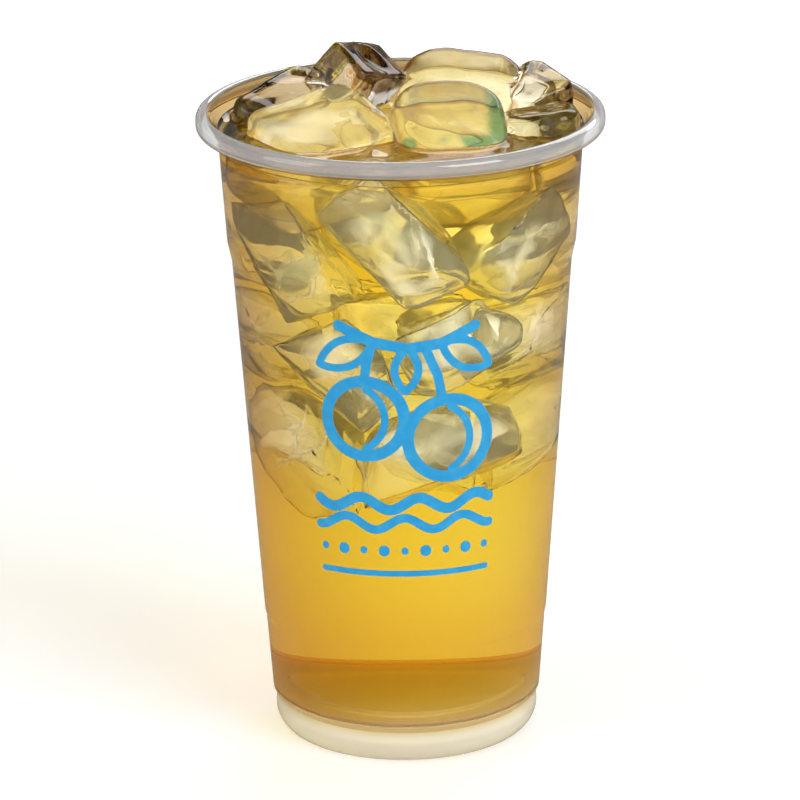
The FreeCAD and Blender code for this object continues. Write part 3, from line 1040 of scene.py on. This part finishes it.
def ice_pieces():
    """The pieces of ice that are already built."""
    return [piece for piece in bpy.data.objects if piece.name.startswith("cube_")]


def ice_tree():
    """A tree for finding the nearest point of all the ice."""
    bm = bmesh.new()
    for piece in ice_pieces():
        bm.from_mesh(piece.data)
    tree = BVHTree.FromBMesh(bm)
    bm.free()
    return tree


def veil(centre, rotation, size, ice, seed):
    """A thin wavy sheet of trapped air inside a cube, kept where it lies well under the ice's skin."""
    bm = bmesh.new()
    bmesh.ops.create_grid(bm, x_segments=26, y_segments=26, size=0.5)
    turn = rotation.to_matrix()
    shift = Vector((seed * 5.3, seed * 2.9, 0))
    layer = bm.verts.layers.float.new("depth")
    for vert in bm.verts:
        flat = vert.co.copy()
        lift = 0.22 * noise.noise(flat * 2.2 + shift) + 0.05 * noise.noise(flat * 9 + shift)
        place = (centre + turn @ (Vector((flat.x, flat.y, lift)) * size)) * MM
        near, normal, _, gap = ice.find_nearest(place)
        inside = (place - near).dot(normal) < 0
        vert[layer] = gap / MM if inside else -gap / MM
        vert.co = place
    bmesh.ops.delete(bm, geom=[v for v in bm.verts if v[layer] < 0.5], context="VERTS")
    return finished(bm, "veil")


def veil_material(settings):
    """Trapped air: milky wisps that fade out towards the ice's skin, with a painted glow and painted shade in
    greyer patches.
    """
    material, nodes, shader, output = new_material("trapped_air")
    place = nodes.place()
    depth = nodes.add("ShaderNodeAttribute", attribute_name="depth").outputs["Fac"]
    wisps = nodes.grain(place, scale=52.0, low=0.40, high=0.64, detail=2.0)
    # Painted shade: greyer patches over the veils.
    cool = nodes.grain(place, scale=17.0, low=0.52, high=0.64)
    shader.inputs["Transmission Weight"].default_value = 0.45
    shader.inputs["IOR"].default_value = 1.05
    # Painted light: the veils glow with a cream colour of their own.
    shader.inputs["Emission Strength"].default_value = settings.glow
    milk = nodes.blend(wisps, (0.93, 0.90, 0.76), (0.99, 0.98, 0.94))
    glow_colour = nodes.blend(wisps, (0.35, 0.30, 0.18), (0.98, 0.93, 0.78))
    nodes.feed(shader.inputs["Base Color"], nodes.tint_over(milk, cool, settings.veil_shade_tint))
    nodes.feed(shader.inputs["Emission Color"], nodes.tint_over(glow_colour, cool, settings.veil_shade_tint))
    nodes.feed(shader.inputs["Roughness"], nodes.remap(wisps, 0.0, 1.0, 0.5, 0.8))
    density = nodes.product(wisps, nodes.remap(depth, 0.5, 4.0), settings.cloudiness)
    nodes.feed(shader.inputs["Alpha"], density)
    nodes.wire(shader.outputs[0], output.inputs["Surface"])
    return material


def build_veils(settings):
    """Sets veils of trapped air in the cubes: two in each sunken one near the front and one in the others."""
    points, _, _ = sunken_places(settings)
    rng = random.Random(5)
    ice = ice_tree()
    size = settings.cube_size / MM
    meshes = []
    for i, centre in enumerate(points):
        for k in range(2 if centre.y < -8 else 1):
            offset = Vector([rng.uniform(-4, 4) for _ in range(3)])
            tip = rng.uniform(-0.9, 0.9) + (1.57 if k else 0)
            rotation = Euler([tip, rng.uniform(-0.6, 0.6), rng.uniform(0, 6.28)])
            meshes.append(veil(centre + offset, rotation, size * 1.15, ice, 2 * i + k))
    for number, node in enumerate(FLOATING[1:]):
        low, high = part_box(node)
        rotation = Euler([rng.uniform(-0.5, 0.5) for _ in range(3)])
        meshes.append(veil((low + high) / 2 / MM, rotation, size * 1.1, ice, 70 + number))
    mesh = joined(meshes, "ice_veils", layer="depth")
    make_object("ice_veils", mesh, [veil_material(settings)], "ice")


def build_floating(settings):
    """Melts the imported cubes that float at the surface."""
    milky = settings.milkiness
    # The clear cubes get a paler warm tone, painted light as well.
    clear = ice_material(settings, "clear_ice", 1.0, film=0.55, tone=(1.0, 0.94, 0.78))
    choice = {
        "ice_proud": ice_material(settings, "proud_ice", 1.0, film=0.5, dark=1.0),
        "ice_front": ice_material(settings, "front_ice", milky, film=0.7, cool=0.9, crown_shade=0.8, tone=TEA_LIGHT_GOLD),
        "ice_back": ice_material(settings, "back_ice", milky, film=1.0, crown_shade=1.0, tone=TEA_LIGHT_GOLD),
        "ice_left": ice_material(settings, "left_ice", milky, film=0.35, crown_shade=0.3, tone=TEA_LIGHT_GOLD),
    }
    for number, node in enumerate(FLOATING):
        mesh = melt(frame["nodes"][node].data.copy(), number + 20, **FLOATING_MELT)
        make_object(node.replace("ice", "cube"), mesh, [choice.get(node, clear)], "ice", node)


def build_sunken(settings):
    """Builds all the cubes under the surface as one piece."""
    mesh = joined(sunken_meshes(settings), "sunken_cubes")
    make_object("cube_sunken", mesh, [ice_material(settings, "sunken_ice", settings.clearness)], "ice")


# ---------------------------------------------------------------- the tea

# How far the tea reaches into the wall, in millimetres, and how far the ice into the tea, in metres
WALL_REACH = 0.3
ICE_REACH = 0.00012


def tea_section(level):
    """The tea's section: it reaches a little into the wall, so no air shows between them."""
    inside = [(r + (WALL_REACH if r > 20.5 else 0), z - (WALL_REACH if z < 11 else 0)) for r, z in INSIDE]
    inside = rounded(inside, INSIDE_BENDS)[:-1]
    side = [p for p in inside if p[1] < level - 0.5]
    rise = [(42.52, -0.3), (42.55, 0.62), (42.2, 0.5), (41.9, 0.33), (41.6, 0.2), (41.2, 0.1), (40.8, 0.03)]
    drawn_up = [(radius, level + lift) for radius, lift in rise]
    rings = [(r, level) for r in np.linspace(40.2, 0.6, 68)]
    return divided(side + drawn_up, longest=4.0) + rings + [(0, level)]


def draw_up_surface(bm, level, ice):
    """Raises the tea's surface a little where it meets ice."""
    for vert in bm.verts:
        if vert.co.z > level - 0.01 and vert.co.xy.length < 41.9:
            distance = ice.find_nearest(vert.co * MM)[3] / MM
            vert.co.z += 0.75 * math.exp(-distance / 0.9)
            vert.co.z += 0.05 * noise.noise(Vector((vert.co.x * 0.12, vert.co.y * 0.12, 3.0)))


def build_tea(settings):
    """Turns the tea, draws its surface up at the ice and hollows it out for every cube."""
    level = settings.level / MM
    ice = ice_pieces()
    bm = turn_profile(tea_section(level), WALL_SEGMENTS)
    draw_up_surface(bm, level, ice_tree())
    mesh = scaled_mesh(bm, "tea_body")
    material = tea_material(settings)
    tea = make_object("tea_body", mesh, [material], "tea", "tea")
    cutters = []
    for piece in ice:
        cutter = linked("cutter", piece.data.copy())
        push(cutter.data, -ICE_REACH)
        modifier = tea.modifiers.new("cut", "BOOLEAN")
        modifier.object = cutter
        modifier.operation = "DIFFERENCE"
        modifier.solver = "MANIFOLD"
        cutters.append(cutter)
    graph = bpy.context.evaluated_depsgraph_get()
    cut = bpy.data.meshes.new_from_object(tea.evaluated_get(graph))
    if len(cut.vertices) < len(mesh.vertices) + sum(len(piece.data.vertices) for piece in ice) // 2:
        raise RuntimeError("the tea was not cut round the ice")
    tea.modifiers.clear()
    tea.data = cut
    cut.materials.clear()
    cut.materials.append(material)
    cut.shade_smooth()
    cut.set_sharp_from_angle(angle=math.radians(50))
    for cutter in cutters:
        bpy.data.objects.remove(cutter)


# ---------------------------------------------------------------- the stage

# Each lamp's place, target and size, in metres; its power is the setting of the same name
LAMPS = {
    "key": ((0.55, -0.55, 0.75), (0, 0, 0.08), (0.5, 0.5)),
    "fill": ((-0.75, -0.35, 0.45), (0, 0, 0.08), (0.5, 0.7)),
    "rear": ((0.25, 0.8, 0.65), (0, 0, 0.1), (0.7, 0.4)),
}
CUP_MIDDLE = Vector((0, 0, 0.0755))
CAMERA_TARGET = (-0.0008, 0, 0.0797)
CAMERA_ROLL = math.radians(-0.62)
# Enough for light to cross the wall, the tea and several cubes
BOUNCES = {
    "max_bounces": 16,
    "transmission_bounces": 16,
    "glossy_bounces": 3,
    "diffuse_bounces": 1,
    "transparent_max_bounces": 24,
}


def build_floor(settings):
    """A round pale floor that fades to plain white far out."""
    bm = bmesh.new()
    bmesh.ops.create_circle(bm, cap_ends=True, radius=12, segments=96)
    mesh = finished(bm, "floor")
    material, nodes, shader, output = new_material("pale_floor")
    shader.inputs["Roughness"].default_value = 0.7
    shader.inputs["Specular IOR Level"].default_value = 0.2
    path = nodes.add("ShaderNodeLightPath")
    place = nodes.place()
    darker = [0.985 * part for part in settings.floor]
    pale = nodes.blend(nodes.grain(place, scale=40.0, low=0.3, high=0.7, detail=3.0), settings.floor, darker)
    pale = nodes.blend(nodes.reflected(path), pale, settings.floor_reflected)
    nodes.feed(shader.inputs["Base Color"], pale)
    across = nodes.add("ShaderNodeVectorMath", operation="LENGTH")
    nodes.wire(place, across.inputs[0])
    far = nodes.remap(across.outputs["Value"], 0.35, 1.1)
    seen = nodes.maths("MAXIMUM", path.outputs["Is Camera Ray"], path.outputs["Is Transmission Ray"])
    glow = nodes.add("ShaderNodeEmission")
    nodes.wire(nodes.product(seen, nodes.maths("ADD", far, settings.floor_lift)), glow.inputs["Strength"])
    both = nodes.add("ShaderNodeAddShader")
    nodes.wire(shader.outputs[0], both.inputs[0])
    nodes.wire(glow.outputs[0], both.inputs[1])
    nodes.wire(both.outputs[0], output.inputs["Surface"])
    mesh.materials.append(material)
    linked("floor", mesh)


def build_world():
    """A white studio that is dimmer above where it is seen in or through a piece."""
    world = bpy.data.worlds.new("studio")
    bpy.context.scene.world = world
    world.use_nodes = True
    world.node_tree.nodes.clear()
    nodes = Nodes(world.node_tree)

    def background(colour, strength):
        node = nodes.add("ShaderNodeBackground")
        nodes.feed(node.inputs["Color"], colour)
        nodes.feed(node.inputs["Strength"], strength)
        return node

    path = nodes.add("ShaderNodeLightPath")
    reflected = nodes.reflected(path)
    height = nodes.split(nodes.add("ShaderNodeTexCoord").outputs["Generated"])["Z"]
    low_down = nodes.remap(height, 0.12, 0.42, 1.0, 0.07)
    strength = nodes.product(low_down, nodes.remap(reflected, 0.0, 1.0, 1.0, 0.5))
    graded = background(nodes.blend(reflected, WHITE, (1, 0.95, 0.85)), strength)
    in_piece = nodes.maths("MAXIMUM", path.outputs["Is Glossy Ray"], path.outputs["Is Transmission Ray"])
    lit = nodes.mix_shaders(in_piece, background(WHITE, 0.35), graded)
    seen = nodes.mix_shaders(path.outputs["Is Camera Ray"], lit, background(WHITE, 1.0))
    output = nodes.add("ShaderNodeOutputWorld")
    nodes.wire(seen.outputs[0], output.inputs["Surface"])


def aim(thing, place, target, roll=0.0):
    """Sets a lamp or camera at a place, looking at a target."""
    direction = Vector(target) - Vector(place)
    turn = direction.to_track_quat("-Z", "Y").to_matrix().to_4x4()
    thing.matrix_world = Matrix.Translation(place) @ turn @ Matrix.Rotation(roll, 4, "Z")


def build_lamp(name, place, target, size, power):
    """A rectangular lamp, which clear pieces don't show when they are looked through."""
    data = bpy.data.lights.new(name, "AREA")
    data.shape = "RECTANGLE"
    data.size, data.size_y = size
    data.energy = power
    lamp = linked(name, data)
    lamp.visible_transmission = False
    aim(lamp, place, target)


def build_camera(settings):
    """A long lens that looks down on the cup a little and leans with it."""
    data = bpy.data.cameras.new("camera")
    data.lens = 248.1
    data.sensor_width = 36
    data.clip_start, data.clip_end = 0.05, 60
    back = Vector((0, -math.cos(settings.elevation), math.sin(settings.elevation)))
    camera = linked("camera", data)
    aim(camera, CUP_MIDDLE + back * settings.distance, CAMERA_TARGET, CAMERA_ROLL)
    bpy.context.scene.camera = camera


def build_stage(settings):
    """The floor, the world, the lamps, the camera and the light's bounces."""
    build_floor(settings)
    build_world()
    for name, (place, target, size) in LAMPS.items():
        build_lamp(name, place, target, size, getattr(settings, name))
    build_camera(settings)
    scene = bpy.context.scene
    scene.view_settings.view_transform = "Standard"
    for kind, bounces in BOUNCES.items():
        setattr(scene.cycles, kind, bounces)


# ---------------------------------------------------------------- operators

class PieceOperator:
    bl_options = {"REGISTER", "UNDO"}


class DRINK_OT_cup(PieceOperator, bpy.types.Operator):
    """Build the clear cup"""
    bl_idname = "drink.cup"
    bl_label = "Cup"

    def execute(self, context):
        build_cup(context.scene.drink_cup)
        return {"FINISHED"}


class DRINK_OT_print(PieceOperator, bpy.types.Operator):
    """Lay the printed sprig on the front of the cup"""
    bl_idname = "drink.front_print"
    bl_label = "Print"

    def execute(self, context):
        build_print(context.scene.drink_cup)
        return {"FINISHED"}


class DRINK_OT_floating_ice(PieceOperator, bpy.types.Operator):
    """Build the cubes that float at the surface"""
    bl_idname = "drink.floating_ice"
    bl_label = "Floating Ice"

    def execute(self, context):
        build_floating(context.scene.drink_ice)
        return {"FINISHED"}


class DRINK_OT_sunken_ice(PieceOperator, bpy.types.Operator):
    """Build the cubes under the surface"""
    bl_idname = "drink.sunken_ice"
    bl_label = "Sunken Ice"

    def execute(self, context):
        build_sunken(context.scene.drink_ice)
        return {"FINISHED"}


class DRINK_OT_ice_veils(PieceOperator, bpy.types.Operator):
    """Set the veils of trapped air in the cubes"""
    bl_idname = "drink.ice_veils"
    bl_label = "Trapped Air"

    def execute(self, context):
        build_veils(context.scene.drink_ice)
        return {"FINISHED"}


class DRINK_OT_tea(PieceOperator, bpy.types.Operator):
    """Build the tea round the ice"""
    bl_idname = "drink.tea"
    bl_label = "Tea"

    def execute(self, context):
        build_tea(context.scene.drink_tea)
        return {"FINISHED"}


class DRINK_OT_stage(PieceOperator, bpy.types.Operator):
    """Build the floor, the lamps, the world and the camera"""
    bl_idname = "drink.stage"
    bl_label = "Stage"

    def execute(self, context):
        build_stage(context.scene.drink_stage)
        return {"FINISHED"}


OPERATORS = (
    DRINK_OT_cup, DRINK_OT_print, DRINK_OT_floating_ice, DRINK_OT_sunken_ice, DRINK_OT_ice_veils,
    DRINK_OT_tea, DRINK_OT_stage,
)


class DRINK_PT_panel(bpy.types.Panel):
    bl_label = "Iced Tea"
    bl_idname = "DRINK_PT_panel"
    bl_space_type = "VIEW_3D"
    bl_region_type = "UI"
    bl_category = "Iced Tea"

    def draw(self, context):
        for operator in OPERATORS:
            self.layout.operator(operator.bl_idname)
        for name, group in SETTINGS.items():
            settings = getattr(context.scene, name)
            for word in group.__annotations__:
                self.layout.prop(settings, word)


def register():
    for group in SETTINGS.values():
        bpy.utils.register_class(group)
    for name, group in SETTINGS.items():
        setattr(bpy.types.Scene, name, bpy.props.PointerProperty(type=group))
    for thing in (*OPERATORS, DRINK_PT_panel):
        bpy.utils.register_class(thing)


def unregister():
    for thing in reversed((*OPERATORS, DRINK_PT_panel)):
        bpy.utils.unregister_class(thing)
    for name in SETTINGS:
        delattr(bpy.types.Scene, name)
    for group in reversed(SETTINGS.values()):
        bpy.utils.unregister_class(group)


def main():
    register()
    bpy.ops.drink.cup()
    bpy.ops.drink.front_print()
    bpy.ops.drink.floating_ice()
    bpy.ops.drink.sunken_ice()
    bpy.ops.drink.ice_veils()
    bpy.ops.drink.tea()
    bpy.ops.drink.stage()


if __name__ == "__main__":
    main()
